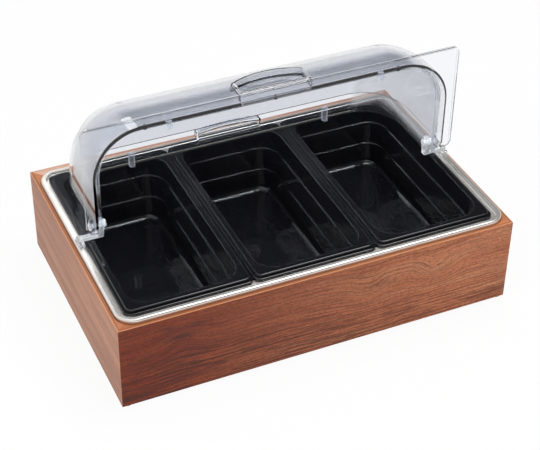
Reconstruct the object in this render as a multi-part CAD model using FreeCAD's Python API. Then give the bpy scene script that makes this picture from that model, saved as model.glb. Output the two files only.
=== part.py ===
import FreeCAD
import Part
import math
import os

# A counter-top salad bar: a mitred wooden box, a steel tray hung in it, three deep pans in the tray
# and a clear roll-top cover of two half shells. Millimetres; X is the length, Y the depth (front is
# -Y), Z is up. The origin is under the middle of the box, on the surface that it stands on.
# The front half of the cover is drawn rolled open, which is its rest position.

V = FreeCAD.Vector
X_AXIS = V(1, 0, 0)
Y_AXIS = V(0, 1, 0)
Z_AXIS = V(0, 0, 1)

# ---- Pans: one-third gastronorm size, 100 deep ----
pan_count = 3
pan_width = 175.6
pan_length = 325.0
pan_depth = 100.0
pan_wall = 3.0
pan_corner = 11.0
pan_lip_height = 8.0           # whole height of the flange above the ledge it hangs on
pan_bead_inset = 4.0           # low outer edge of the flange, outside the raised bead
pan_bead_height = 3.6
pan_bead_round = 1.6
pan_flange = 12.8              # outer edge to opening
pan_mouth_corner = 30.0
pan_draft = 1.2                # narrowing of each wall between two shoulders
pan_shoulder = 2.2             # width of each stacking shoulder
pan_shoulder_drops = (30.0, 65.0)
pan_shoulder_round = 0.9
pan_floor_round = 9.0
pan_spacing = 0.4              # air between two neighbours

# ---- Play of the row of pans inside the raised rim ----
play_left = 3.9
play_right = 8.9
play_front = 4.2
play_rear = 7.2

# ---- Steel tray ----
sheet = 1.2
rim_band = 6.8                 # width of the raised rim
rim_height = 6.0               # rim above the wood
rim_corner = 25.0
rim_round = 2.8
ledge_drop = 4.0               # the ledge lies this far below the rim
ledge_width = 12.0
ledge_fold = 2.0
well_corner = 20.0
well_floor_round = 8.0

# ---- Cold packs under the pans ----
pack_thickness = 17.0
pack_play = 5.0                # air round each pack in the well
pack_corner = 14.0
pack_round = 4.0
pack_gap = 1.8                 # air under the pan

# ---- Wooden box ----
rim_margin_side = 5.5          # wood left showing outside the rim
rim_margin_front = 5.0
rim_margin_rear = 15.0
wood_thickness = 18.0
edge_chamfer = 0.6
base_thickness = 6.0
base_lift = 8.0                # wood below the base panel
base_groove = 6.0
base_play = 0.5
tray_gap = 1.0                 # air under the well
block_leg = 16.0
block_top_drop = 6.0
foot_height = 2.0
foot_diameter = 15.0
foot_round = 0.6

# ---- Roll-top cover ----
cover_wall = 3.0
cover_flange_thickness = 3.0
cover_flange_front = 12.0      # flange beyond the dome, front and rear
cover_flange_end = 12.5        # flange beyond the end walls
cover_front_gap = 6.2          # flange edge inside the raised rim, half of both sides together
cover_end_gap = 2.7
cover_corner = 9.0
cover_edge_width = 2.6         # thicker edge round the flange
cover_edge_height = 1.2
cover_skirt = 22.5             # straight wall from the hinge axis down to the flange's underside
cover_lift = 0.5               # flange above the pans' beads
cover_round = 70.0             # rounding of the front shell where dome meets end wall
shell_gap = 2.0                # air between the front shell and the rear shell inside it
hinge_offset = -5.0            # hinge axis from the middle of the tray, along Y
front_setback = 8.0            # front shell's edge in front of the axis, when closed
rear_overlap = 13.0            # rear shell's edge in front of the axis
lug_radius = 12.0
lip_depth = 6.0                # inward lip along the rear shell's front edge
lip_thickness = 3.0
hinge_boss = 2.0
hinge_boss_radius = 9.0

# ---- Finger grip on the front shell ----
grip_half_width = 52.0
grip_proud = 11.0
grip_bottom = 17.0             # below the axis when closed
grip_shoulder = 16.0           # above the axis at its ends
grip_crown = 29.0              # above the axis at its middle
grip_round = 5.0
grip_rib_count = 4
grip_rib_pitch = 5.0
grip_rib_height = 1.4
grip_rib_proud = 0.6
grip_rib_inset = 10.0

# ---- Low finger grip on the rear shell, under the edge of the rolled-back front shell ----
low_grip_half_width = 50.0
low_grip_proud = 12.0
low_grip_bottom = 11.0
low_grip_gap = 0.8             # crown of the grip below the front shell's edge, fully open
low_grip_arch = 3.7            # its ends below its crown
low_grip_round = 3.5
low_grip_rib_count = 2
low_grip_rib_pitch = 3.5

# ---- Lugs inside the two shells ----
lug_inset = 100.0              # from the rear shell's end wall, along X
lug_width = 8.0
stop_reach = 10.0
stop_clearance = 0.5           # stop lug to the rear shell's lip, fully open
locator_reach = 8.0
locator_height = 22.0

# ---- Bumpers in the rear shell's lip ----
bumper_inset = 70.0            # outer buttons from the rear shell's end walls, along X
bumper_shank = 2.6
bumper_head = 6.4
bumper_proud = 1.6

# ---- Hinge brackets, pins, knobs and screws ----
fit = 0.05                     # radial clearance of every pin, shank and screw
pin_diameter = 6.0
pin_head = 11.0
pin_head_height = 2.7
pin_head_gap = 0.3
knob_diameter = 10.5
knob_height = 4.0
knob_floor = 1.5
bracket_plate = 6.0
bracket_plate_gap = 1.0
bracket_eye = 8.5
bar_height = 5.0
bar_width = 8.0
bar_start = -0.5               # front face of the bar from the axis, along Y
bar_pan_gap = 1.0
lid_bar_gap = 2.0
bracket_foot_height = 4.0
bracket_foot_length = 20.0
bracket_foot_width = 9.0
bracket_foot_inset = 1.4       # foot's outer edge inside the rim's outer edge
bracket_end_gap = 0.7          # block beyond the end of the flange
bracket_key_width = 2.6
bracket_key_gap = 0.8          # key to the rim's inner face
bracket_round = 1.0
screw_diameter = 3.0
screw_length = 16.0
screw_head = 5.0
screw_head_height = 2.0
screw_socket = 2.0
screw_socket_depth = 1.2
screw_pitch = 14.0
through_fit = 0.2              # radial clearance in the sheet and the bracket's foot

# ---- Levels, worked out from the pieces that stack up ----
ledge_level = rim_height - ledge_drop
wood_bottom = foot_height
base_bottom = wood_bottom + base_lift
base_top = base_bottom + base_thickness
well_bottom = base_top + tray_gap
well_floor = well_bottom + sheet
pan_underside = well_floor + pack_thickness + pack_gap
pan_floor = pan_underside + pan_wall
bead_top = pan_floor + pan_depth
ledge_top = bead_top - pan_lip_height
wood_top = ledge_top - ledge_level
rim_top = wood_top + rim_height
flange_bottom = bead_top + cover_lift
axis_z = flange_bottom + cover_skirt

# ---- Plan sizes, from the pans outwards ----
pan_pitch = pan_width + pan_spacing
row_length = pan_count * pan_width + (pan_count - 1) * pan_spacing
recess_length = play_left + row_length + play_right
recess_depth = play_front + pan_length + play_rear
rim_length = recess_length + 2 * rim_band
rim_depth = recess_depth + 2 * rim_band
box_length = rim_length + 2 * rim_margin_side
box_depth = rim_margin_front + rim_depth + rim_margin_rear
tray_y = -box_depth / 2 + rim_margin_front + rim_depth / 2
row_left = -recess_length / 2 + play_left
pan_y = tray_y - recess_depth / 2 + play_front + pan_length / 2
axis_y = tray_y + hinge_offset

# ---- Cover sizes, from the tray ----
flange_reach = recess_depth / 2 - cover_front_gap
flange_half = recess_length / 2 - cover_end_gap
front_radius = flange_reach - cover_flange_front
front_half = flange_half - cover_flange_end
shell_step = cover_wall + shell_gap
rear_radius = front_radius - shell_step
rear_half = front_half - shell_step
rear_round = cover_round - shell_step
lug_place = rear_half - lug_inset
bumper_places = (-(rear_half - bumper_inset), 0.0, rear_half - bumper_inset)

# ---- Finger grips: half width, proud, bottom, shoulder, crown, rounding, radius of their shell ----
front_grip = (grip_half_width, grip_proud, grip_bottom, grip_shoulder, grip_crown, grip_round,
              front_radius)
low_crown = front_setback - low_grip_gap
rear_grip = (low_grip_half_width, low_grip_proud, low_grip_bottom, low_crown - low_grip_arch,
             low_crown, low_grip_round, rear_radius)


def plan_face(length, depth, corner, x, y, z):
    """Flat rounded rectangle, centred on x, y at height z."""
    a = length / 2
    b = depth / 2
    r = corner
    k = r * (1 - math.sqrt(0.5))
    corners = ((a, b), (-a, b), (-a, -b), (a, -b))
    starts = ((a, b - r), (-a + r, b), (-a, -b + r), (a - r, -b))
    ends = ((a - r, b), (-a, b - r), (-a + r, -b), (a, -b + r))
    edges = []
    for i in range(4):
        sx = math.copysign(1, corners[i][0])
        sy = math.copysign(1, corners[i][1])
        middle = V(x + corners[i][0] - sx * k, y + corners[i][1] - sy * k, z)
        start = V(x + starts[i][0], y + starts[i][1], z)
        end = V(x + ends[i][0], y + ends[i][1], z)
        nxt = V(x + starts[(i + 1) % 4][0], y + starts[(i + 1) % 4][1], z)
        edges.append(Part.Arc(start, middle, end).toShape())
        edges.append(Part.LineSegment(end, nxt).toShape())
    return Part.Face(Part.Wire(edges))


def plan_block(length, depth, corner, x, y, z0, z1):
    """Upright block with rounded vertical corners."""
    return plan_face(length, depth, corner, x, y, z0).extrude(V(0, 0, z1 - z0))


def tapered_block(top, bottom, x, y, z0, z1):
    """Block between two rounded rectangles, each given as (length, depth, corner)."""
    upper = plan_face(top[0], top[1], top[2], x, y, z1).OuterWire
    lower = plan_face(bottom[0], bottom[1], bottom[2], x, y, z0).OuterWire
    return Part.makeLoft([lower, upper], True, True)


def box(x0, x1, y0, y1, z0, z1):
    return Part.makeBox(x1 - x0, y1 - y0, z1 - z0, V(x0, y0, z0))


def polygon_block(points, direction):
    """Prism from a closed outline of points along a direction."""
    wire = Part.makePolygon(list(points) + [points[0]])
    return Part.Face(wire).extrude(direction)


def edges_at_height(shape, z):
    """Edges that lie flat at one height."""
    found = []
    for edge in shape.Edges:
        low = edge.BoundBox.ZMin
        high = edge.BoundBox.ZMax
        if abs(low - z) < 1e-4 and abs(high - z) < 1e-4:
            found.append(edge)
    return found


def mirror_x(shape):
    return shape.mirror(V(0, 0, 0), X_AXIS)


# ---------------------------------------------------------------- wooden box

def screw_points():
    """Centres of the two screws of the right-hand bracket, in plan."""
    x = rim_length / 2 - (rim_band + bracket_foot_inset - sheet) / 2
    middle = axis_y + bar_start + bar_width / 2
    return [(x, middle - screw_pitch / 2), (x, middle + screw_pitch / 2)]


def screw_holes(radius, z0, z1):
    """Round holes for the screws of both brackets."""
    holes = []
    for x, y in screw_points():
        for side in (-1, 1):
            holes.append(Part.makeCylinder(radius, z1 - z0, V(side * x, y, z0)))
    return holes


def box_ring():
    """The four walls as one ring, grooved for the base panel, before the mitres are cut."""
    a = box_length / 2
    b = box_depth / 2
    outer = box(-a, a, -b, b, wood_bottom, wood_top)
    outer = outer.makeChamfer(edge_chamfer, outer.Edges)
    t = wood_thickness
    inner = box(-a + t, a - t, -b + t, b - t, wood_bottom - 1, wood_top + 1)
    g = t - base_groove
    groove = box(-a + g, a - g, -b + g, b - g, base_bottom, base_top)
    ring = outer.cut(inner).cut(groove)
    screw_bottom = rim_top + bracket_foot_height - screw_length - 1
    return ring.cut(screw_holes(screw_diameter / 2 + fit, screw_bottom, wood_top + 1))


def box_walls():
    """Front, rear, left and right walls, mitred at 45 degrees."""
    ring = box_ring()
    a = box_length / 2
    b = box_depth / 2
    t = wood_thickness
    low = wood_bottom - 1
    up = V(0, 0, wood_top - wood_bottom + 2)
    front = [V(-a, -b, low), V(a, -b, low), V(a - t, -b + t, low), V(-a + t, -b + t, low)]
    left = [V(-a, -b, low), V(-a + t, -b + t, low), V(-a + t, b - t, low), V(-a, b, low)]
    rear = [V(p.x, -p.y, low) for p in front]
    right = [V(-p.x, p.y, low) for p in left]
    outlines = {"front_panel": front, "rear_panel": rear, "left_panel": left, "right_panel": right}
    return {name: ring.common(polygon_block(points, up)) for name, points in outlines.items()}


def base_panel():
    a = box_length / 2 - wood_thickness + base_groove - base_play
    b = box_depth / 2 - wood_thickness + base_groove - base_play
    return box(-a, a, -b, b, base_bottom, base_top)


def corner_blocks():
    """Glue blocks that stiffen the mitres inside the box."""
    a = box_length / 2 - wood_thickness
    b = box_depth / 2 - wood_thickness
    up = V(0, 0, wood_top - block_top_drop - base_top)
    blocks = {}
    for side, sx in (("left", -1), ("right", 1)):
        for end, sy in (("front", -1), ("rear", 1)):
            corner = V(sx * a, sy * b, base_top)
            along = V(sx * (a - block_leg), sy * b, base_top)
            across = V(sx * a, sy * (b - block_leg), base_top)
            blocks["corner_block_" + end + "_" + side] = polygon_block([corner, along, across], up)
    return blocks


def foot_pads():
    """Thin round pads stuck under the mitred corners."""
    inset = wood_thickness / 2
    x = box_length / 2 - inset
    y = box_depth / 2 - inset
    pads = {}
    for side, sx in (("left", -1), ("right", 1)):
        for end, sy in (("front", -1), ("rear", 1)):
            pad = Part.makeCylinder(foot_diameter / 2, foot_height, V(sx * x, sy * y, 0))
            pad = pad.makeFillet(foot_round, edges_at_height(pad, 0))
            pads["foot_pad_" + end + "_" + side] = pad
    return pads


# ---------------------------------------------------------------- steel tray

def tray():
    """Pressed tray: raised rim, sunken ledge for the pans and a deep well."""
    def solid(inset, z0, z1, corner):
        return plan_block(rim_length - 2 * inset, rim_depth - 2 * inset, corner, 0, tray_y, z0, z1)

    rim = solid(0, wood_top, rim_top, rim_corner)
    rim = rim.makeFillet(rim_round, edges_at_height(rim, rim_top))
    under = solid(sheet, wood_top, rim_top - sheet, rim_corner - sheet)
    under = under.makeFillet(rim_round - sheet, edges_at_height(under, rim_top - sheet))
    recess_corner = rim_corner - rim_band
    step = solid(rim_band - sheet, ledge_top - sheet, rim_top, recess_corner + sheet)
    recess = solid(rim_band, ledge_top, rim_top + 1, recess_corner)
    recess = recess.makeFillet(sheet, edges_at_height(recess, ledge_top))
    well_inset = rim_band + ledge_width
    well = solid(well_inset - sheet, well_bottom, ledge_top, well_corner + sheet)
    well = well.makeFillet(well_floor_round + sheet, edges_at_height(well, well_bottom))
    hollow = solid(well_inset, well_floor, rim_top + 1, well_corner)
    hollow = hollow.makeFillet(well_floor_round, edges_at_height(hollow, well_floor))
    body = rim.cut(under).fuse([step, well]).cut([recess, hollow])
    fold = [e for e in edges_at_height(body, ledge_top) if e.BoundBox.XMax < rim_length / 2 - rim_band - 2]
    body = body.makeFillet(ledge_fold * 0.5, fold)
    return body.cut(screw_holes(screw_diameter / 2 + through_fit, wood_top - 1, rim_top + 1))


# ---------------------------------------------------------------- pans and cold packs

def pan_levels():
    """Heights and insets of the pan's inner wall, from the mouth to the floor."""
    drops = (0.0,) + tuple(pan_shoulder_drops) + (pan_depth,)
    levels = []
    inset = pan_flange
    for i in range(len(drops) - 1):
        upper = (bead_top - drops[i], inset)
        lower = (bead_top - drops[i + 1], inset + pan_draft)
        levels.append((upper, lower))
        inset = inset + pan_draft + pan_shoulder
    return levels


def pan_walls(x, offset, drop):
    """Stacked tapered blocks of the pan's inside, or of its outside with an offset."""
    blocks = []
    levels = pan_levels()
    for i, (upper, lower) in enumerate(levels):
        sizes = []
        for z, inset in (upper, lower):
            grown = inset - offset
            corner = pan_mouth_corner - (inset - pan_flange) + offset
            sizes.append((pan_width - 2 * grown, pan_length - 2 * grown, corner))
        z1 = upper[0] - drop if i else upper[0]
        z0 = lower[0] - drop
        block = tapered_block(sizes[0], sizes[1], x, pan_y, z0, z1)
        if i == len(levels) - 1:
            block = block.makeFillet(pan_floor_round + offset, edges_at_height(block, z0))
        blocks.append(block)
    return blocks


def pan(x):
    """One deep pan: low flange, raised bead, and walls with two stacking shoulders."""
    low_top = bead_top - pan_bead_height
    flange = plan_block(pan_width, pan_length, pan_corner, x, pan_y, ledge_top, low_top)
    flange = flange.makeFillet(pan_bead_round, edges_at_height(flange, low_top))
    bead = plan_block(pan_width - 2 * pan_bead_inset, pan_length - 2 * pan_bead_inset,
                      pan_corner - pan_bead_inset / 2, x, pan_y, ledge_top, bead_top)
    outside = flange.fuse([bead] + pan_walls(x, pan_wall, pan_wall))
    inside = pan_walls(x, 0.0, 0.0)
    shape = outside.cut(inside)
    shape = shape.makeFillet(pan_bead_round, edges_at_height(shape, bead_top))
    shoulders = []
    for drop in pan_shoulder_drops:
        shoulders += edges_at_height(shape, bead_top - drop)
    return shape.makeFillet(pan_shoulder_round, shoulders).removeSplitter()


def pan_centre(i):
    return row_left + pan_width / 2 + i * pan_pitch


def cold_pack(i):
    """Flat freezer pack that lies on the well's floor; the packs share the well equally."""
    inset = rim_band + ledge_width
    length = (rim_length - 2 * inset - (pan_count + 1) * pack_play) / pan_count
    depth = rim_depth - 2 * inset - 2 * pack_play
    x = (i - (pan_count - 1) / 2) * (length + pack_play)
    shape = plan_block(length, depth, pack_corner, x, tray_y, well_floor, well_floor + pack_thickness)
    flat = edges_at_height(shape, well_floor) + edges_at_height(shape, well_floor + pack_thickness)
    return shape.makeFillet(pack_round, flat)


# ---------------------------------------------------------------- roll-top cover
# The two shells are drawn about their hinge axis as the X axis, closed, with the shell towards -Y.

def drum_profile(half, radius, rounding):
    """Upper half outline of the drum in the XZ plane, above the axis."""
    k = rounding * (1 - math.sqrt(0.5))
    edges = []
    left_low = V(-half, 0, 0)
    left_high = V(-half, 0, radius - rounding)
    left_top = V(-half + rounding, 0, radius)
    right_top = V(half - rounding, 0, radius)
    right_high = V(half, 0, radius - rounding)
    right_low = V(half, 0, 0)
    left_middle = V(-half + k, 0, radius - k)
    right_middle = V(half - k, 0, radius - k)
    edges.append(Part.LineSegment(left_low, left_high).toShape())
    edges.append(Part.Arc(left_high, left_middle, left_top).toShape())
    edges.append(Part.LineSegment(left_top, right_top).toShape())
    edges.append(Part.Arc(right_top, right_middle, right_high).toShape())
    edges.append(Part.LineSegment(right_high, right_low).toShape())
    edges.append(Part.LineSegment(right_low, left_low).toShape())
    return Part.Face(Part.Wire(edges))


def drum_solid(half, radius, rounding, overlap, skirt, hub):
    """Quarter drum with a straight skirt below; it ends behind the axis by overlap, or before it."""
    profile = drum_profile(half, radius, rounding)
    quarter = profile.revolve(V(0, 0, 0), X_AXIS, 90)
    front = profile.copy()
    front.rotate(V(0, 0, 0), X_AXIS, 90)
    wall = front.extrude(V(0, 0, -skirt))
    if overlap < 0:
        return quarter.fuse(wall).cut(box(-half - 1, half + 1, overlap, 1, -skirt, radius + 1))
    strip = profile.extrude(V(0, overlap, 0))
    hub_block = box(-half, half, 0, overlap, -hub, 0)
    return quarter.fuse([wall, strip, hub_block])


def flange_plate(clear):
    """Flat flange round the open side, with its thicker edge; clear is its start from the axis."""
    bottom = -cover_skirt
    top = bottom + cover_flange_thickness
    depth = flange_reach - clear
    middle = -clear - depth / 2
    plate = plan_block(2 * flange_half, depth, cover_corner, 0, middle, bottom, top)
    raised = plan_block(2 * flange_half, depth, cover_corner, 0, middle, top, top + cover_edge_height)
    trim = cover_edge_width
    hollow = plan_block(2 * (flange_half - trim), depth + 2 * cover_corner, cover_corner - trim,
                        0, middle + trim + cover_corner, top - 1, top + cover_edge_height + 1)
    return plate.fuse(raised.cut(hollow))


def cover_shell(half, radius, rounding, overlap, clear, details):
    """One half of the cover, closed: dome, end walls, skirt, flange, round hinge ends and details."""
    w = cover_wall
    outer = drum_solid(half, radius, rounding, overlap, cover_skirt, lug_radius)
    notch = box(-half - 1, half + 1, -clear, lug_radius + 1, -cover_skirt - 1, -lug_radius)
    eye = Part.makeCylinder(lug_radius, 2 * half, V(-half, 0, 0), X_AXIS)
    inner = drum_solid(half - w, radius - w, rounding - w, lug_radius + 4 * w, cover_skirt + w, lug_radius)
    around = box(-half + w, half - w, -2 * lug_radius, 2 * lug_radius, -2 * cover_skirt, lug_radius)
    shell = outer.cut(notch).fuse([eye, flange_plate(clear)] + details)
    return shell.cut([inner, around])


def pin_bore():
    length = 2 * flange_half + 20
    return Part.makeCylinder(pin_diameter / 2 + fit, length, V(-length / 2, 0, 0), X_AXIS)


def grip_outline(grip, inset, y):
    """D-shaped outline of a finger grip in the plane at y, with an arched top."""
    a = grip[0] - inset
    low = -grip[2] + inset
    shoulder = grip[3] - inset
    crown = grip[4] - inset
    base = Part.LineSegment(V(-a, y, low), V(a, y, low)).toShape()
    right = Part.LineSegment(V(a, y, low), V(a, y, shoulder)).toShape()
    arch = Part.Arc(V(a, y, shoulder), V(0, y, crown), V(-a, y, shoulder)).toShape()
    left = Part.LineSegment(V(-a, y, shoulder), V(-a, y, low)).toShape()
    return Part.Face(Part.Wire([base, right, arch, left]))


def grip_bump(grip, inset):
    """Solid bump of a grip, rounded in front, long enough to reach into the wall."""
    face_y = -grip[6] - grip[1] + inset
    inside_y = -grip[6] + grip[1]
    bump = grip_outline(grip, inset, face_y).extrude(V(0, inside_y - face_y, 0))
    front = []
    for edge in bump.Edges:
        if edge.BoundBox.YMax < inside_y - 0.1:
            front.append(edge)
    ends = []
    for edge in bump.Edges:
        flat = edge.BoundBox.XLength < 1e-4 and edge.BoundBox.ZLength < 1e-4
        if flat:
            ends.append(edge)
    return bump.makeFillet(grip[5] - inset, front + ends)


def grip_ribs(grip, count, pitch):
    ribs = []
    half = grip[0] - grip_rib_inset
    face_y = -grip[6] - grip[1]
    for i in range(count):
        z = -grip[2] + grip[5] + i * pitch
        ribs.append(box(-half, half, face_y - grip_rib_proud, face_y + 1, z, z + grip_rib_height))
    return ribs


def front_lid_closed():
    clear = lid_bar_gap - bar_start
    grip = [grip_bump(front_grip, 0.0)] + grip_ribs(front_grip, grip_rib_count, grip_rib_pitch)
    shell = cover_shell(front_half, front_radius, cover_round, -front_setback, clear, grip)
    shell = shell.cut(grip_bump(front_grip, cover_wall))
    for side in (-1, 1):
        start = V(side * front_half, 0, 0)
        shell = shell.fuse(Part.makeCylinder(hinge_boss_radius, hinge_boss, start, V(side, 0, 0)))
    return shell.cut(pin_bore())


def rear_lip():
    """Inward lip that stiffens the rear shell's free edge, down to its hinge ends."""
    start = rear_overlap - lip_thickness
    rim = drum_profile(rear_half, rear_radius, rear_round).extrude(V(0, lip_thickness, 0))
    ends = box(-rear_half, rear_half, 0, lip_thickness, -lug_radius, 0)
    d = lip_depth
    opening = drum_profile(rear_half - d, rear_radius - d, rear_round - d).extrude(V(0, lip_thickness, 0))
    below = box(-rear_half + d, rear_half - d, 0, lip_thickness, -lug_radius, 0)
    lip = rim.fuse(ends).cut([opening, below])
    lip.translate(V(0, start, 0))
    return lip


def rear_lid_closed():
    clear = bar_start + bar_width + lid_bar_gap
    grip = [grip_bump(rear_grip, 0.0)] + grip_ribs(rear_grip, low_grip_rib_count, low_grip_rib_pitch)
    shell = cover_shell(rear_half, rear_radius, rear_round, rear_overlap, clear, grip)
    shell = shell.cut(grip_bump(rear_grip, cover_wall))
    shell = shell.fuse(rear_lip()).cut(pin_bore())
    for x in bumper_places:
        start = V(x, rear_overlap - lip_thickness - 1, bumper_radius_place())
        shell = shell.cut(Part.makeCylinder(bumper_shank / 2 + fit, lip_thickness + 2, start, Y_AXIS))
    return shell.mirror(V(0, 0, 0), Y_AXIS)


def bumper_radius_place():
    return rear_radius - lip_depth / 2


def bumper(x):
    """Rubber button pushed through the lip from the front."""
    face = -rear_overlap
    z = bumper_radius_place()
    shank = Part.makeCylinder(bumper_shank / 2, lip_thickness, V(x, face, z), Y_AXIS)
    head = Part.makeCylinder(bumper_head / 2, bumper_proud, V(x, face - bumper_proud, z), Y_AXIS)
    rounded = []
    for edge in head.Edges:
        if edge.BoundBox.YMax < face - bumper_proud + 0.01:
            rounded.append(edge)
    head = head.makeFillet(bumper_proud / 2, rounded)
    return head.fuse(shank)


def stop_lug(x):
    """Lug at the foot of the front shell that meets the rear shell's lip when fully open."""
    face = -front_radius + cover_wall
    top = -rear_overlap - stop_clearance
    shape = box(x - lug_width / 2, x + lug_width / 2, face, face + stop_reach, -cover_skirt, top)
    return round_lug(shape, face + stop_reach)


def locator_lug(x):
    """Lug on the rear shell's inner face that keeps the cover in line with the pans."""
    face = rear_radius - cover_wall
    top = -cover_skirt + locator_height
    shape = box(x - lug_width / 2, x + lug_width / 2, face - locator_reach, face, -cover_skirt, top)
    return round_lug(shape, face - locator_reach)


def round_lug(shape, y):
    """Round the two upright edges of a lug at its free end."""
    ends = []
    for edge in shape.Edges:
        b = edge.BoundBox
        if b.ZLength > 1 and abs(b.YMin - y) < 1e-4 and abs(b.YMax - y) < 1e-4:
            ends.append(edge)
    return shape.makeFillet(lug_width / 2 - 0.5, ends)


def opened(shape):
    """Roll a closed front piece back by a quarter turn, to its rest position."""
    turned = shape.copy()
    turned.rotate(V(0, 0, 0), X_AXIS, -90)
    return turned


def placed(shape):
    """Carry a piece drawn about the hinge axis to its place on the tray."""
    moved = shape.copy()
    moved.translate(V(0, axis_y, axis_z))
    return moved


# ---------------------------------------------------------------- hinges

def bracket_right():
    """Clear bracket: foot on the rim, key behind it, bar over the pan and an upright eye."""
    plate_out = rear_half - cover_wall - bracket_plate_gap
    plate_in = plate_out - bracket_plate
    y0 = axis_y + bar_start
    y1 = y0 + bar_width
    middle = (y0 + y1) / 2
    bar_bottom = bead_top + bar_pan_gap
    bar_top = bar_bottom + bar_height
    foot_out = rim_length / 2 - bracket_foot_inset
    foot_in = foot_out - bracket_foot_width
    block_in = flange_half + bracket_end_gap
    foot_top = rim_top + bracket_foot_height
    foot = plan_block(bracket_foot_width, bracket_foot_length, bracket_foot_width / 4,
                      (foot_out + foot_in) / 2, middle, rim_top, foot_top)
    foot = foot.makeFillet(bracket_round, edges_at_height(foot, foot_top))
    block = box(block_in, foot_out - bracket_round, y0, y1, rim_top, bar_top)
    bar = box(plate_in, foot_out - bracket_round, y0, y1, bar_bottom, bar_top)
    bar = bar.makeFillet(bracket_round, edges_at_height(bar, bar_top))
    key_out = recess_length / 2 - bracket_key_gap
    key = box(key_out - bracket_key_width, key_out, y0, y1, ledge_top + sheet, rim_top)
    eye = Part.makeCylinder(bracket_eye, bracket_plate, V(plate_in, axis_y, axis_z), X_AXIS)
    web = [V(plate_in, axis_y - bracket_eye, axis_z), V(plate_in, axis_y + bracket_eye, axis_z),
           V(plate_in, y1, bar_bottom), V(plate_in, y0, bar_bottom)]
    upright = polygon_block(web, V(bracket_plate, 0, 0)).fuse(eye)
    shape = foot.fuse([block, bar, key, upright])
    bore = pin_bore()
    bore.translate(V(0, axis_y, axis_z))
    shape = shape.cut(bore)
    holes = screw_holes(screw_diameter / 2 + through_fit, ledge_top, foot_top + 1)
    return shape.cut(holes).removeSplitter()


def pin_right():
    """Pin with its head outside the front shell; it ends inside the knob."""
    head_x = front_half + hinge_boss + pin_head_gap
    end_x = knob_inner_face() + knob_floor
    shank = Part.makeCylinder(pin_diameter / 2, head_x - end_x, V(end_x, 0, 0), X_AXIS)
    head = Part.makeCylinder(pin_head / 2, pin_head_height, V(head_x, 0, 0), X_AXIS)
    rounded = [e for e in head.Edges if e.BoundBox.XMin > head_x + 0.1]
    head = head.makeFillet(pin_head_height / 2, rounded)
    return placed(shank.fuse(head))


def knob_inner_face():
    return rear_half - cover_wall - bracket_plate_gap - bracket_plate - knob_height


def knob_right():
    """Round nut that holds the pin against the bracket."""
    face = knob_inner_face()
    body = Part.makeCylinder(knob_diameter / 2, knob_height, V(face, 0, 0), X_AXIS)
    rounded = [e for e in body.Edges if e.BoundBox.XMax < face + 0.1]
    body = body.makeFillet(knob_floor / 2, rounded)
    depth = knob_height - knob_floor
    bore = Part.makeCylinder(pin_diameter / 2 + fit, depth + 1, V(face + knob_floor, 0, 0), X_AXIS)
    return placed(body.cut(bore))


def bracket_screws():
    """Four screws through the brackets' feet and the rim into the wood."""
    top = rim_top + bracket_foot_height
    screws = []
    for x, y in screw_points():
        for side in (-1, 1):
            centre = V(side * x, y, top - screw_length)
            shank = Part.makeCylinder(screw_diameter / 2, screw_length, centre)
            head = Part.makeCylinder(screw_head / 2, screw_head_height, V(side * x, y, top))
            head = head.makeFillet(screw_head_height / 2, edges_at_height(head, top + screw_head_height))
            floor = top + screw_head_height - screw_socket_depth
            socket = Part.makeCylinder(screw_socket / 2, screw_socket_depth + 1, V(side * x, y, floor))
            screws.append(shank.fuse(head).cut(socket))
    return Part.makeCompound(screws)


# ---------------------------------------------------------------- all pieces

def pieces():
    nodes = {}
    nodes.update(box_walls())
    nodes["base_panel"] = base_panel()
    nodes.update(corner_blocks())
    nodes.update(foot_pads())
    nodes["steel_tray"] = tray()
    for i, name in enumerate(("left", "centre", "right")):
        nodes["pan_" + name] = pan(pan_centre(i))
        nodes["cold_pack_" + name] = cold_pack(i)
    nodes["rear_lid"] = placed(rear_lid_closed())
    nodes["front_lid"] = placed(opened(front_lid_closed()))
    for side, sx in (("left", -1), ("right", 1)):
        nodes["front_stop_" + side] = placed(opened(stop_lug(sx * lug_place)))
        nodes["rear_locator_" + side] = placed(locator_lug(sx * lug_place))
    for name, x in zip(("left", "centre", "right"), bumper_places):
        nodes["bumper_" + name] = placed(bumper(x))
    nodes["hinge_bracket_right"] = bracket_right()
    nodes["hinge_pin_right"] = pin_right()
    nodes["hinge_knob_right"] = knob_right()
    for name in ("hinge_bracket", "hinge_pin", "hinge_knob"):
        nodes[name + "_left"] = mirror_x(nodes[name + "_right"])
    nodes["bracket_screws"] = bracket_screws()
    return nodes


os.makedirs("parts", exist_ok=True)
for name, shape in pieces().items():
    count = len(shape.Solids)
    print(name, count, shape.isValid(), round(shape.Volume / 1000, 2))
    shape.exportStep("parts/" + name + ".step")
print("axis", axis_y, axis_z, "wood top", wood_top, "box", box_length, box_depth)
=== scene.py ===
import bpy
import bmesh
import math
from mathutils import Matrix, Vector

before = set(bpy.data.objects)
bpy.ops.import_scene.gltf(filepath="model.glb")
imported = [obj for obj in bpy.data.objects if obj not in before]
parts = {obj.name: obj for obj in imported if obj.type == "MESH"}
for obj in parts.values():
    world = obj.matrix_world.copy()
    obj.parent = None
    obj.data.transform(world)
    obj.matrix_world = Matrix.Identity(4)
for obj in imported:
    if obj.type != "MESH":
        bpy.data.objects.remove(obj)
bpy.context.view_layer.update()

# ---------------------------------------------------------------- wooden box
# Four walls of board faced with oiled walnut veneer, mitred at the corners and glued. The grain
# runs along each wall. It is fine and straight on the short walls. On the long walls it is dark
# with a few smudges at one end, and orange with arched figure towards the other.

rim_half_length = 0.277                  # steel rim that lies on the walls, in plan
rim_half_depth = 0.175
rim_middle = -0.005
rim_corner = 0.025
wall_half_length = 0.2825
wall_half_depth = 0.185
wall_top = 0.130


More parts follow.
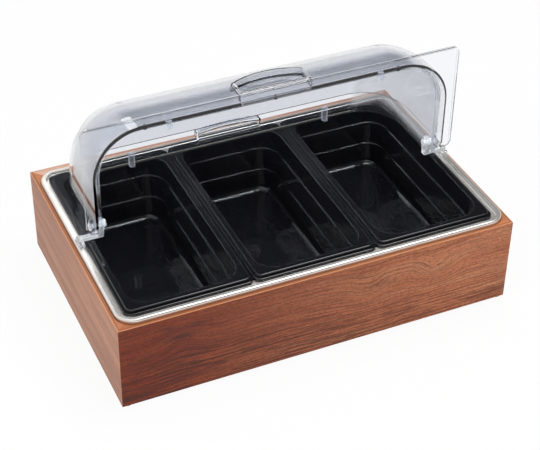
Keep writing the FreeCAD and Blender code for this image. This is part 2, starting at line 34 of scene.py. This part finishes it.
class Wire:
    """A node's output that is added, multiplied and compared like a number."""

    def __init__(self, nodes, socket):
        self.nodes = nodes
        self.socket = socket

    def __add__(self, other):
        return self.nodes.math("ADD", self, other)

    def __sub__(self, other):
        return self.nodes.math("SUBTRACT", self, other)

    def __rsub__(self, other):
        return self.nodes.math("SUBTRACT", other, self)

    def __mul__(self, other):
        return self.nodes.math("MULTIPLY", self, other)

    def __pow__(self, other):
        return self.nodes.math("POWER", self, other)

    def __lt__(self, other):
        return self.nodes.math("LESS_THAN", self, other)

    def __gt__(self, other):
        return self.nodes.math("GREATER_THAN", self, other)

    def __abs__(self):
        return self.nodes.math("ABSOLUTE", self)

    __radd__ = __add__
    __rmul__ = __mul__


class Nodes:
    """A node tree that is filled by one method."""

    def __init__(self, tree):
        self.tree = tree
        tree.nodes.clear()

    def node(self, kind, settings, sockets, output=0):
        made = self.tree.nodes.new(kind)
        for name, value in settings.items():
            setattr(made, name, value)
        for name, value in sockets.items():
            if isinstance(value, Wire):
                self.tree.links.new(value.socket, made.inputs[name])
            else:
                made.inputs[name].default_value = value
        return Wire(self, made.outputs[output])

    def math(self, operation, a, b=0.0):
        return self.node("ShaderNodeMath", {"operation": operation}, {0: a, 1: b})

    def colour(self, share, a, b):
        """Colour a, with a share of colour b. The Mix node has its colours in sockets 6 and 7."""
        return self.node("ShaderNodeMix", {"data_type": "RGBA"}, {0: share, 6: a, 7: b}, 2)

    def point(self, x, y, z):
        return self.node("ShaderNodeCombineXYZ", {}, {0: x, 1: y, 2: z})

    def place(self, stretch=(1.0, 1.0, 1.0)):
        """Object coordinates in metres, stretched."""
        at = self.node("ShaderNodeTexCoord", {}, {}, "Object")
        return self.node("ShaderNodeMapping", {}, {"Vector": at, "Scale": stretch})

    def axis(self, number):
        """One of the object coordinates, in metres."""
        at = self.node("ShaderNodeTexCoord", {}, {}, "Object")
        return self.node("ShaderNodeSeparateXYZ", {}, {0: at}, number)

    def noise(self, where, scale=1.0, detail=2.0, rough=0.5, twist=0.0):
        return self.node("ShaderNodeTexNoise", {}, {
            "Vector": where, "Scale": scale, "Detail": detail, "Roughness": rough,
            "Distortion": twist})

    def steps(self, value, low, high):
        """0 below low, 1 above high and smooth between them."""
        return self.node("ShaderNodeMapRange", {"interpolation_type": "SMOOTHSTEP"}, {
            "Value": value, "From Min": low, "From Max": high, "To Min": 0.0, "To Max": 1.0})

    def spot(self, across, up, place, size):
        """Soft round mark, 1 at its middle, in the plane of two coordinates."""
        a = (across - place[0]) * (1.0 / size[0])
        b = (up - place[1]) * (1.0 / size[1])
        return (a * a + b * b + 1.0) ** -3.0

    def bump(self, height, distance, strength):
        return self.node("ShaderNodeBump", {}, {
            "Height": height, "Distance": distance, "Strength": strength})

    def surface(self, shader, end="ShaderNodeOutputMaterial"):
        out = self.tree.nodes.new(end)
        self.tree.links.new(shader.socket, out.inputs["Surface"])

    def skin(self, sockets):
        """Ends a material in one plain shader with these values."""
        self.surface(self.node("ShaderNodeBsdfPrincipled", {}, sockets))


def finish(name):
    material = bpy.data.materials.new(name)
    material.use_nodes = True
    return material, Nodes(material.node_tree)


def tone(red, green, blue):
    """A colour as it is seen on screen, 0 to 255, made linear."""
    linear = []
    for value in (red, green, blue):
        v = value / 255
        linear.append(v / 12.92 if v <= 0.04045 else ((v + 0.055) / 1.055) ** 2.4)
    return (*linear, 1.0)


def dress(material, *names):
    for name in names:
        slots = parts[name].data.materials
        for number in range(len(slots)):
            slots[number] = material


# Growth lines and pores, drawn out along the grain: waves in a metre along it and across it.
drift_waves = (5.0, 11.0)                # slow wander of the lines
jag_waves = (60.0, 30.0)                 # small jags in them
fine_waves = (16.0, 1.7)                 # these three count across in lines, not metres
band_waves = (4.0, 0.16)
break_waves = (12.0, 0.35)
fibre_waves = (240.0, 2400.0)
pore_waves = (210.0, 760.0)
lean = 0.8                               # how far the lines shift in height, going into the board


def streaks(n, along, across, waves, seed, detail, rough):
    where = n.point(along * waves[0], across * waves[1], seed)
    return n.noise(where, detail=detail, rough=rough)


def grain(n, along, across, seed, lines, wander, rag):
    """So many growth lines in a metre: fine lines, broad bands, and thin dark rings that come
    and go."""
    drift = streaks(n, along, across, drift_waves, seed, 2.0, 0.5)
    jag = streaks(n, along, across, jag_waves, seed, 3.0, 0.6)
    rows = across * lines + drift * wander + jag * rag
    fine = streaks(n, along, rows, fine_waves, seed + 3.0, 3.0, 0.65)
    broad = streaks(n, along, rows, band_waves, seed + 7.0, 2.0, 0.5)
    come = streaks(n, along, rows, break_waves, seed + 11.0, 2.0, 0.5)
    ring = n.math("PINGPONG", rows * 0.5, 0.5) * 2.0
    rings = (1.0 - n.steps(ring, 0.05, 0.3)) * n.steps(come, 0.40, 0.52)
    return fine, broad, rings


def pores(n, along, across, seed):
    """Short dark pores, and a finer fibre between them."""
    fibre = streaks(n, along, across, fibre_waves, seed, 2.0, 0.55)
    flecks = streaks(n, along, across, pore_waves, seed, 2.0, 0.7)
    dark = n.steps(fibre, 0.56, 0.70) * 0.4 + n.steps(flecks, 0.51, 0.60) * 0.6
    return dark, fibre


def rim_gap(n):
    """Distance outwards from the edge of the steel rim, in plan, in metres."""
    x = n.math("MAXIMUM", abs(n.axis(0)) - (rim_half_length - rim_corner), 0.0)
    y = n.math("MAXIMUM", abs(n.axis(1) - rim_middle) - (rim_half_depth - rim_corner), 0.0)
    return n.math("SQRT", x * x + y * y) - rim_corner


# The walls' top edges, in metres: from the outer face inwards, and down from the top.
glue_starts = (0.0016, 0.0024)           # glue line of the veneer
glue_ends = (0.0030, 0.0038)
arris = 0.0008                           # sharp top edge, lightened as a painted highlight
top_skin = 0.0005                        # depth of the top faces' colour, which is partly painted light
rim_shadow_band = (0.0, 0.0014)                # painted shadow line outside the steel rim
glue_brown = tone(96, 48, 24)
edge_highlight_paint = tone(214, 156, 120)
painted_rim_shadow = tone(46, 16, 6)


def veneer(n, base, fibre, rough, top_tone):
    """The oiled surface over a wood colour: top faces in a tone that is partly painted light,
    top edges with the glue line of the veneer and a painted highlight, and a painted shadow
    line along the steel rim."""
    top = n.axis(2) > wall_top - top_skin
    x = wall_half_length - abs(n.axis(0))
    y = wall_half_depth - abs(n.axis(1))
    depth = n.math("MINIMUM", x, y)
    glue = n.steps(depth, *glue_starts) * (1.0 - n.steps(depth, *glue_ends))
    edge = (depth < arris) * (n.axis(2) > wall_top - arris)
    under_rim = n.steps(rim_gap(n), *rim_shadow_band)
    # top faces: their own orange tone mixed with painted light from above; on the rear wall a
    # painted pale reflection
    base = n.colour(top * 0.55, base, top_tone)
    base = n.colour(top * glue * 0.5, base, glue_brown)
    # painted highlight along the sharp top edge
    base = n.colour(edge * 0.6, base, edge_highlight_paint)
    # painted shadow: the wood darkened along the outside of the steel rim
    base = n.colour((1.0 - under_rim) * 0.85, base, painted_rim_shadow)
    n.skin({"Base Color": base, "Roughness": rough + 0.15 * fibre,
            "Normal": n.bump(fibre, 0.00015, 0.5), "Specular IOR Level": 0.3})


# Top faces: orange, partly painted light from above; pale on the rear wall, a painted reflection.
orange_top_lit = tone(196, 122, 74)
painted_top_sheen = tone(232, 200, 182)
# The short walls' paler tone is partly painted light and sheen from the left.
short_wood, short_band = tone(152, 98, 70), tone(180, 124, 92)
short_line, short_ring, short_pore = tone(122, 70, 46), tone(104, 56, 34), tone(96, 50, 30)


def short_wall():
    """Left, right: fine straight grain along Y, in a paler tone that is partly painted light and
    sheen.
    """
    material, n = finish("walnut_short_wall")
    along = n.axis(1)
    across = n.axis(2) + n.axis(0) * lean
    fine, broad, rings = grain(n, along, across, seed=2.0, lines=400.0, wander=3.0, rag=0.5)
    dark, fibre = pores(n, along, across, seed=5.0)
    base = n.colour(n.steps(broad, 0.3, 0.7), short_wood, short_band)
    base = n.colour(n.steps(fine, 0.47, 0.62) * 0.45, base, short_line)
    base = n.colour(rings * 0.3, base, short_ring)
    base = n.colour(dark * 0.5, base, short_pore)
    veneer(n, base, fibre, rough=0.38, top_tone=orange_top_lit)
    return material


# Long walls: (place along the wall and height), (half width and half height), in metres.
left_arch = ((0.065, 0.085), (0.05, 0.05))
right_arch = ((0.165, 0.085), (0.05, 0.04))
dark_dip = ((-0.2, 0.09), (0.05, 0.05))
smudges = (                              # each with its share and its colour
    ((-0.06, 0.1), (0.09, 0.02), 0.6, tone(164, 94, 62)),
    ((-0.2, 0.094), (0.03, 0.009), 0.85, tone(66, 32, 30)),
    ((-0.216, 0.112), (0.016, 0.006), 0.65, tone(72, 36, 33)),
    ((-0.178, 0.108), (0.02, 0.006), 0.6, tone(76, 38, 34)),
    ((0.085, 0.088), (0.03, 0.008), 0.5, tone(112, 62, 44)))
dark_wood, dark_band, dark_line = tone(124, 45, 16), tone(146, 64, 30), tone(58, 22, 13)
orange_wood, orange_band, orange_line = tone(198, 121, 82), tone(211, 145, 104), tone(96, 44, 25)
turn_to_orange = (-0.26, 0.24)           # along the wall
dense_foot = (0.03, 0.085)               # height over which the dense lines near the floor end
foot_slope = 0.06


def long_wall(name, seed, flip, top_tone):
    """Front, rear: grain along X with a livelier figure towards one end."""
    material, n = finish(name)
    along = n.axis(0) * flip
    level = n.axis(2)
    unbent = level + n.axis(1) * lean
    arch = n.spot(along, level, *left_arch) * 0.015 + n.spot(along, level, *right_arch) * 0.022
    dip = n.spot(along, level, *dark_dip) * 0.016
    orange = n.steps(along, *turn_to_orange)
    low = 1.0 - n.steps(level + along * foot_slope, *dense_foot)
    rag = 0.5 + 1.6 * orange * (1.0 - low)
    across = unbent + arch - dip
    fine, broad, rings = grain(n, along, across, seed, lines=330.0, wander=5.0, rag=rag)
    dark, fibre = pores(n, along, unbent, seed + 5.0)
    base = n.colour(orange, dark_wood, orange_wood)
    band = n.colour(orange, dark_band, orange_band)
    base = n.colour(n.steps(broad, 0.38, 0.66) * 0.7, base, band)
    for place, size, share, colour in smudges:
        base = n.colour(n.spot(along, level, place, size) * share, base, colour)
    line = n.colour(orange, dark_line, orange_line)
    base = n.colour(n.steps(fine, 0.48, 0.56) * (0.32 + 0.4 * low), base, line)
    base = n.colour(rings * (0.6 + 0.3 * low), base, line)
    base = n.colour(dark * 0.8, base, line)
    veneer(n, base, fibre, rough=0.42, top_tone=top_tone)
    return material


dress(short_wall(), "left_panel", "right_panel")
dress(long_wall("walnut_front_wall", seed=0.7, flip=1.0, top_tone=orange_top_lit), "front_panel")
dress(long_wall("walnut_rear_wall", seed=12.7, flip=-1.0, top_tone=painted_top_sheen), "rear_panel")

# ---------------------------------------------------------------- bottom, glue blocks and feet
# A thin plywood bottom slides in grooves in the walls, and soft-wood blocks are glued into the
# mitres. Under the corners sit thin grey self-adhesive pads.

ply_wood, ply_band, ply_fleck = tone(188, 152, 108), tone(222, 190, 146), tone(150, 112, 74)
pad_grey, pad_pale = tone(150, 150, 150), tone(178, 178, 176)


def plywood():
    material, n = finish("pale_plywood")
    fibre = n.noise(n.place((6.0, 90.0, 90.0)), detail=4.0, rough=0.6, twist=0.3)
    flecks = n.noise(n.place((60.0, 900.0, 900.0)), detail=1.0)
    base = n.colour(n.steps(fibre, 0.3, 0.7), ply_wood, ply_band)
    base = n.colour(n.steps(flecks, 0.58, 0.7) * 0.4, base, ply_fleck)
    n.skin({"Base Color": base, "Roughness": 0.55 + 0.2 * fibre,
            "Normal": n.bump(fibre, 0.0004, 0.4)})
    return material


def foot_rubber():
    material, n = finish("foot_rubber")
    speck = n.noise(n.place(), scale=900.0)
    n.skin({"Base Color": n.colour(speck, pad_grey, pad_pale), "Roughness": 0.55 + 0.2 * speck,
            "Normal": n.bump(speck, 0.0001, 0.4)})
    return material


dress(plywood(), "base_panel", "corner_block_front_left", "corner_block_front_right",
      "corner_block_rear_left", "corner_block_rear_right")
dress(foot_rubber(), "foot_pad_front_left", "foot_pad_front_right",
      "foot_pad_rear_left", "foot_pad_rear_right")

# ---------------------------------------------------------------- steel tray
# One pressed sheet of stainless steel, 1.2 mm thick, with a rounded raised rim that lies on the
# wood, a sunken ledge that carries the pans, and a deep well. It has a fine satin brushing.

steel_grey, steel_pale = tone(224, 220, 214), tone(242, 239, 234)


def satin_steel():
    material, n = finish("satin_steel")
    brushed = n.noise(n.place((40.0, 1500.0, 1500.0)), rough=0.6)
    cloudy = n.noise(n.place(), scale=14.0, detail=3.0, rough=0.6)
    n.skin({"Base Color": n.colour(cloudy, steel_grey, steel_pale), "Metallic": 0.94,
            "Roughness": 0.2 + 0.16 * brushed + 0.06 * cloudy,
            "Normal": n.bump(brushed, 0.00006, 0.5)})
    return material


dress(satin_steel(), "steel_tray")

# ---------------------------------------------------------------- cold packs
# Three flat freezer packs of pale blue polyethylene lie in the well under the pans. They are
# blow-moulded, with a fine matt grain.

pack_blue, pack_pale = tone(190, 208, 224), tone(208, 222, 234)


def pack_plastic():
    material, n = finish("pack_plastic")
    matt = n.noise(n.place(), scale=1100.0, rough=0.6)
    mottle = n.noise(n.place(), scale=25.0)
    n.skin({"Base Color": n.colour(mottle, pack_blue, pack_pale), "Roughness": 0.45 + 0.15 * matt,
            "Normal": n.bump(matt, 0.0001, 0.5)})
    return material


dress(pack_plastic(), "cold_pack_left", "cold_pack_centre", "cold_pack_right")

# ---------------------------------------------------------------- pans
# Three deep one-third pans, moulded in gloss black plastic, hang by their flanges on the ledge.
# Wiping has left their gloss a little uneven.

pan_black, pan_haze = tone(17, 17, 20), tone(22, 22, 26)


def gloss_black():
    material, n = finish("gloss_black")
    haze = n.noise(n.place(), scale=9.0)
    smear = n.noise(n.place((9.0, 4.0, 9.0)), detail=3.0, rough=0.6, twist=0.4)
    n.skin({"Base Color": n.colour(haze, pan_black, pan_haze),
            "Roughness": 0.045 + 0.03 * smear, "Specular IOR Level": 0.7})
    return material


dress(gloss_black(), "pan_left", "pan_centre", "pan_right")

# ---------------------------------------------------------------- rear half of the cover
# A shell of clear polycarbonate, 3 mm thick, with a flat flange that lies over the pans' rims and
# an inward lip along its front edge. It has two welded lugs, and three dark rubber buttons in the
# lip. The lip looks dark where it is seen edge-on.

rear_tint = (0.86, 0.88, 0.92)
lamp_tint = (0.93, 0.94, 0.96, 1.0)      # of the light that a sheet lets through
swirl_tint = 0.02
sheet_ior = 1.49
end_wall = (0.19, 0.215)                 # where the end walls begin, from the middle
foot_height = (0.20, 0.29)               # over which the straight view at their feet ends


def clear_plastic(name, tint, rough, clearness, straight):
    """Clear moulded sheet that bends what is seen through it, less so at the feet of its end
    walls. Lamps shine through it."""
    material, n = finish(name)
    swirl = n.noise(n.place(), scale=18.0, detail=3.0)
    pale = [min(1.0, value + swirl_tint) for value in tint]
    sheet = n.node("ShaderNodeBsdfPrincipled", {}, {
        "Base Color": n.colour(swirl, (*tint, 1.0), (*pale, 1.0)),
        "Transmission Weight": clearness, "IOR": sheet_ior, "Roughness": rough})
    through = n.node("ShaderNodeBsdfTransparent", {}, {"Color": lamp_tint})
    lit = n.node("ShaderNodeLightPath", {}, {}, "Is Shadow Ray")
    end = n.steps(abs(n.axis(0)), *end_wall)
    foot = (1.0 - n.steps(n.axis(2), *foot_height)) * end * straight
    share = n.math("MAXIMUM", lit, foot)
    n.surface(n.node("ShaderNodeMixShader", {}, {0: share, 1: sheet, 2: through}))
    return material


rear_clear = clear_plastic("clear_rear_half", rear_tint, rough=0.0, clearness=1.0, straight=0.7)
dress(rear_clear, "rear_lid")

painted_lug_glint = (0.9, 0.92, 0.96, 1.0)


def clear_lug():
    """Clear, with a painted white highlight on its rounded edges, strongest where seen edge-on."""
    material, n = finish("clear_lug")
    facing = n.node("ShaderNodeLayerWeight", {}, {"Blend": 0.5}, "Facing")
    through = n.node("ShaderNodeBsdfTransparent", {}, {"Color": (*rear_tint, 1.0)})
    skin = n.node("ShaderNodeBsdfPrincipled", {}, {
        "Base Color": painted_lug_glint, "Roughness": 0.1 + 0.1 * n.noise(n.place(), scale=300.0)})
    # painted highlight: white mixed in where the surface is seen edge-on
    edge = 0.06 + 0.8 * facing ** 2.5
    n.surface(n.node("ShaderNodeMixShader", {}, {0: edge, 1: through, 2: skin}))
    return material


lug_clear = clear_lug()
dress(lug_clear, "rear_locator_left", "rear_locator_right")

button_black, button_grey = tone(34, 36, 46), tone(52, 54, 66)


def bumper_rubber():
    material, n = finish("bumper_rubber")
    speck = n.noise(n.place(), scale=1200.0)
    n.skin({"Base Color": n.colour(speck, button_black, button_grey),
            "Roughness": 0.35 + 0.2 * speck})
    return material


dress(bumper_rubber(), "bumper_left", "bumper_centre", "bumper_right")

# ---------------------------------------------------------------- front half of the cover
# The outer shell, of the same clear plastic, with a flange, a ribbed finger grip and two lugs.
# It turns on the hinge pins and is rolled back over the rear half.

front_tint = (0.90, 0.91, 0.935)
front_clear = clear_plastic("clear_front_half", front_tint, rough=0.0, clearness=1.0, straight=0.0)
dress(front_clear, "front_lid")
dress(lug_clear, "front_stop_left", "front_stop_right")

# ---------------------------------------------------------------- hinges
# Clear brackets are screwed to the steel rim. Each carries the cover on a clear pin, which a round
# knob holds from inside. The small screws are polished steel.

fitting_tint = (0.97, 0.98, 0.98)
fitting_clear = clear_plastic(
    "clear_fittings", fitting_tint, rough=0.06, clearness=0.75, straight=0.0)
dress(fitting_clear, "hinge_bracket_left", "hinge_bracket_right", "hinge_pin_left",
      "hinge_pin_right", "hinge_knob_left", "hinge_knob_right")

screw_grey, screw_pale = tone(200, 200, 198), tone(224, 224, 222)


def screw_steel():
    material, n = finish("screw_steel")
    turned = n.noise(n.place(), scale=1500.0)
    n.skin({"Base Color": n.colour(turned, screw_grey, screw_pale), "Metallic": 1.0,
            "Roughness": 0.16 + 0.12 * turned})
    return material


dress(screw_steel(), "bracket_screws")

# ---------------------------------------------------------------- room
# A pale studio floor under soft light: a lamp overhead, one at the left, and weak ones behind and
# in front. Floor and room are white to the camera, in mirrors and through clear plastic. A ray
# that was mirrored sees a dim wall, mostly at the right, so that gloss black stays black.

floor_half = 6.0
floor_paint = (0.85, 0.85, 0.85, 1.0)
white = (1.0, 1.0, 1.0, 1.0)
floor_glow = 0.93


def seen_rays(n):
    """1 for rays from the camera, from a mirror or through clear plastic."""
    camera, glossy, clear = (
        n.node("ShaderNodeLightPath", {}, {}, name)
        for name in ("Is Camera Ray", "Is Glossy Ray", "Is Transmission Ray"))
    return camera + glossy + clear


floor_mesh = bpy.data.meshes.new("floor")
bm = bmesh.new()
bmesh.ops.create_grid(bm, x_segments=1, y_segments=1, size=floor_half)
bm.to_mesh(floor_mesh)
bm.free()
floor = bpy.data.objects.new("floor", floor_mesh)
bpy.context.scene.collection.objects.link(floor)
floor_white, floor_nodes = finish("floor_white")
matt = floor_nodes.node("ShaderNodeBsdfDiffuse", {}, {"Color": floor_paint})
glow = floor_nodes.node("ShaderNodeEmission", {}, {"Color": white, "Strength": 1.0})
floor_nodes.surface(floor_nodes.node("ShaderNodeMixShader", {}, {
    0: seen_rays(floor_nodes) * floor_glow, 1: matt, 2: glow}))
floor.data.materials.append(floor_white)

room_light = 0.34                        # strength of the room's light on the object
wall_foot = (0.12, 0.4)                  # the dim wall, from low to high directions
wall_head = (0.75, 0.92)
wall_side = (-0.15, 0.2)                 # and from left to right
wall_left = 0.25                         # what is left of it at the left
wall_dimming = 1.44

room = bpy.data.worlds.new("room")
room.use_nodes = True
bpy.context.scene.world = room
n = Nodes(room.node_tree)
way = n.node("ShaderNodeTexCoord", {}, {}, "Generated")
height = n.node("ShaderNodeSeparateXYZ", {}, {0: way}, 2)
right = n.steps(n.node("ShaderNodeSeparateXYZ", {}, {0: way}, 0), *wall_side)
wall = n.steps(height, *wall_foot) * (1.0 - n.steps(height, *wall_head))
wall = wall * (wall_left + (1.0 - wall_left) * right)
was_mirrored = n.node("ShaderNodeLightPath", {}, {}, "Glossy Depth") > 0.5
dimmed = 1.0 - was_mirrored * wall * wall_dimming
strength = room_light + (1.0 - room_light) * (seen_rays(n) > 0.5) * dimmed
sky = n.node("ShaderNodeBackground", {}, {"Color": white, "Strength": strength})
n.surface(sky, "ShaderNodeOutputWorld")

lamp_aim = Vector((0.0, 0.0, 0.1))


def soft_lamp(name, place, size, watts, mirrored, through):
    """Flat lamp, wide and high, that faces the object. It may show mirrored in gloss, and through
    clear plastic."""
    lamp = bpy.data.lights.new(name, "AREA")
    lamp.shape = "RECTANGLE"
    lamp.size, lamp.size_y = size
    lamp.energy = watts
    stand = bpy.data.objects.new(name, lamp)
    turned = (lamp_aim - Vector(place)).to_track_quat("-Z", "Y").to_matrix().to_4x4()
    stand.matrix_world = Matrix.Translation(place) @ turned
    bpy.context.scene.collection.objects.link(stand)
    stand.visible_glossy = mirrored
    stand.visible_transmission = through


soft_lamp("lamp_left", (-1.7, -0.5, 1.1), (0.9, 0.9), 20.0, mirrored=False, through=False)
soft_lamp("lamp_top", (0.6, 0.1, 1.8), (1.1, 0.8), 19.0, mirrored=True, through=True)
soft_lamp("lamp_rear", (-0.1, 1.37, 1.45), (0.4, 0.5), 3.6, mirrored=True, through=False)
soft_lamp("lamp_front", (0.9, -1.8, 1.0), (0.8, 0.8), 8.0, mirrored=False, through=False)

# Camera, fitted to the photograph's box corners: 2.06 m away, 25 degrees left, 37 degrees up.
camera_turn = math.radians(-24.65)
camera_rise = math.radians(37.27)
camera_roll = math.radians(0.87)
camera_target = Vector((0.00538, 0.0, 0.0792))
camera_distance = 2.0571
camera_lens = 97.87
camera_sensor = 36.0
camera_sees = (0.05, 50.0)

back = Vector((math.sin(camera_turn) * math.cos(camera_rise),
               -math.cos(camera_turn) * math.cos(camera_rise), math.sin(camera_rise)))
side = Vector((0.0, 0.0, 1.0)).cross(back).normalized()
up = back.cross(side)
side_rolled = side * math.cos(camera_roll) + up * math.sin(camera_roll)
up_rolled = up * math.cos(camera_roll) - side * math.sin(camera_roll)
eye = camera_target + back * camera_distance
lens = bpy.data.cameras.new("camera")
lens.sensor_width = camera_sensor
lens.lens = camera_lens
lens.clip_start, lens.clip_end = camera_sees
camera = bpy.data.objects.new("camera", lens)
camera.matrix_world = Matrix((
    (side_rolled.x, up_rolled.x, back.x, eye.x),
    (side_rolled.y, up_rolled.y, back.y, eye.y),
    (side_rolled.z, up_rolled.z, back.z, eye.z),
    (0.0, 0.0, 0.0, 1.0)))
bpy.context.scene.collection.objects.link(camera)
bpy.context.scene.camera = camera
bpy.context.scene.view_settings.view_transform = "Standard"

# Light crosses several clear sheets, with two faces each, on its way to the pans and back.
clear_bounces = 24
clear_layers = 32
bpy.context.scene.cycles.max_bounces = clear_bounces
bpy.context.scene.cycles.transmission_bounces = clear_bounces
bpy.context.scene.cycles.transparent_max_bounces = clear_layers
